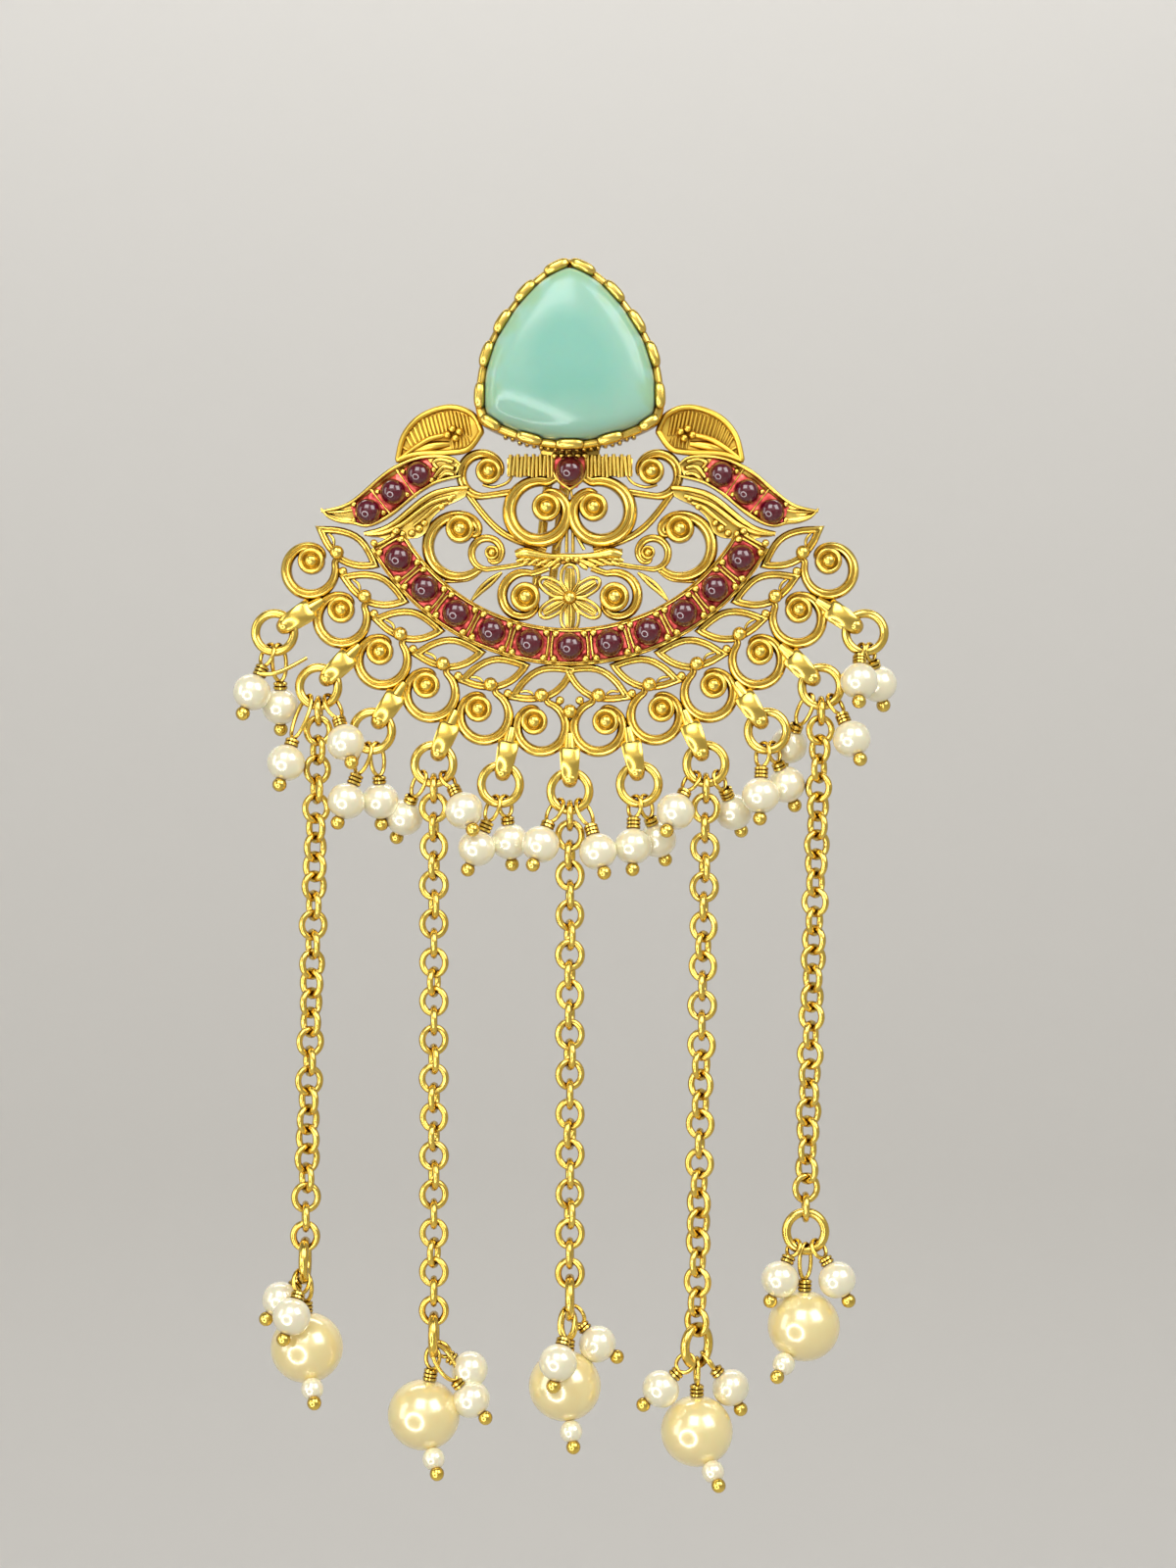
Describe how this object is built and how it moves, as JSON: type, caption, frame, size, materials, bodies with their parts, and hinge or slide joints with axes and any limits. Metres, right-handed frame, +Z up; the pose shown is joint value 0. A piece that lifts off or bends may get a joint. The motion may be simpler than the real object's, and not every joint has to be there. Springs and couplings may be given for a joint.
{
  "type": "hair bun brooch",
  "caption": "Hair bun brooch in gold filigree with a mint bezel stone, a crescent of red cabochons, scrolls, pearls on jump rings and hanging chains with pearl drops.",
  "frame": {"origin": "where the U-shaped hair pin leaves the back plate behind the bezel, on the centre line", "axes": "+Z up along the hanging chains, +X to the wearer's view right across the fan, front facing -Y"},
  "size_m": [0.0728, 0.0113, 0.1325],
  "materials": {
    "gold_plate": "antiqued yellow gold plating, soft gloss",
    "gold_wire": "polished yellow gold plated wire",
    "gold_chain": "polished yellow gold plated rolo links",
    "mint_glass": "milky pale green glass cabochon, polished",
    "ruby_glass": "deep wine red glass cabochon over pink foil",
    "white_pearl": "white pearl lacquer on glass beads",
    "champagne_pearl": "champagne pearl lacquer on large glass beads"
  },
  "bodies": {
    "root": {"chain_1": "gold_chain", "chain_2": "gold_chain", "chain_3": "gold_chain", "chain_4": "gold_chain", "chain_5": "gold_chain", "filigree_body": "gold_plate", "jump_ring_1": "gold_wire", "jump_ring_10": "gold_wire", "jump_ring_11": "gold_wire", "jump_ring_2": "gold_wire", "jump_ring_3": "gold_wire", "jump_ring_4": "gold_wire", "jump_ring_5": "gold_wire", "jump_ring_6": "gold_wire", "jump_ring_7": "gold_wire", "jump_ring_8": "gold_wire", "jump_ring_9": "gold_wire", "mint_stone": "mint_glass", "pearl_10_left": "white_pearl", "pearl_10_right": "white_pearl", "pearl_2_left": "white_pearl", "pearl_2_right": "white_pearl", "pearl_4_left": "white_pearl", "pearl_4_right": "white_pearl", "pearl_6_left": "white_pearl", "pearl_6_right": "white_pearl", "pearl_8_left": "white_pearl", "pearl_8_right": "white_pearl", "pearl_cluster_1": "champagne_pearl", "pearl_cluster_2": "champagne_pearl", "pearl_cluster_3": "champagne_pearl", "pearl_cluster_4": "champagne_pearl", "pearl_cluster_5": "champagne_pearl", "pearl_pair_1": "white_pearl", "pearl_pair_11": "white_pearl", "pearl_pair_3": "white_pearl", "pearl_pair_5": "white_pearl", "pearl_pair_7": "white_pearl", "pearl_pair_9": "white_pearl", "ruby_band_1": "ruby_glass", "ruby_band_10": "ruby_glass", "ruby_band_11": "ruby_glass", "ruby_band_2": "ruby_glass", "ruby_band_3": "ruby_glass", "ruby_band_4": "ruby_glass", "ruby_band_5": "ruby_glass", "ruby_band_6": "ruby_glass", "ruby_band_7": "ruby_glass", "ruby_band_8": "ruby_glass", "ruby_band_9": "ruby_glass", "ruby_centre": "ruby_glass", "ruby_left_1": "ruby_glass", "ruby_left_2": "ruby_glass", "ruby_left_3": "ruby_glass", "ruby_right_1": "ruby_glass", "ruby_right_2": "ruby_glass", "ruby_right_3": "ruby_glass"}
  },
  "joints": []
}
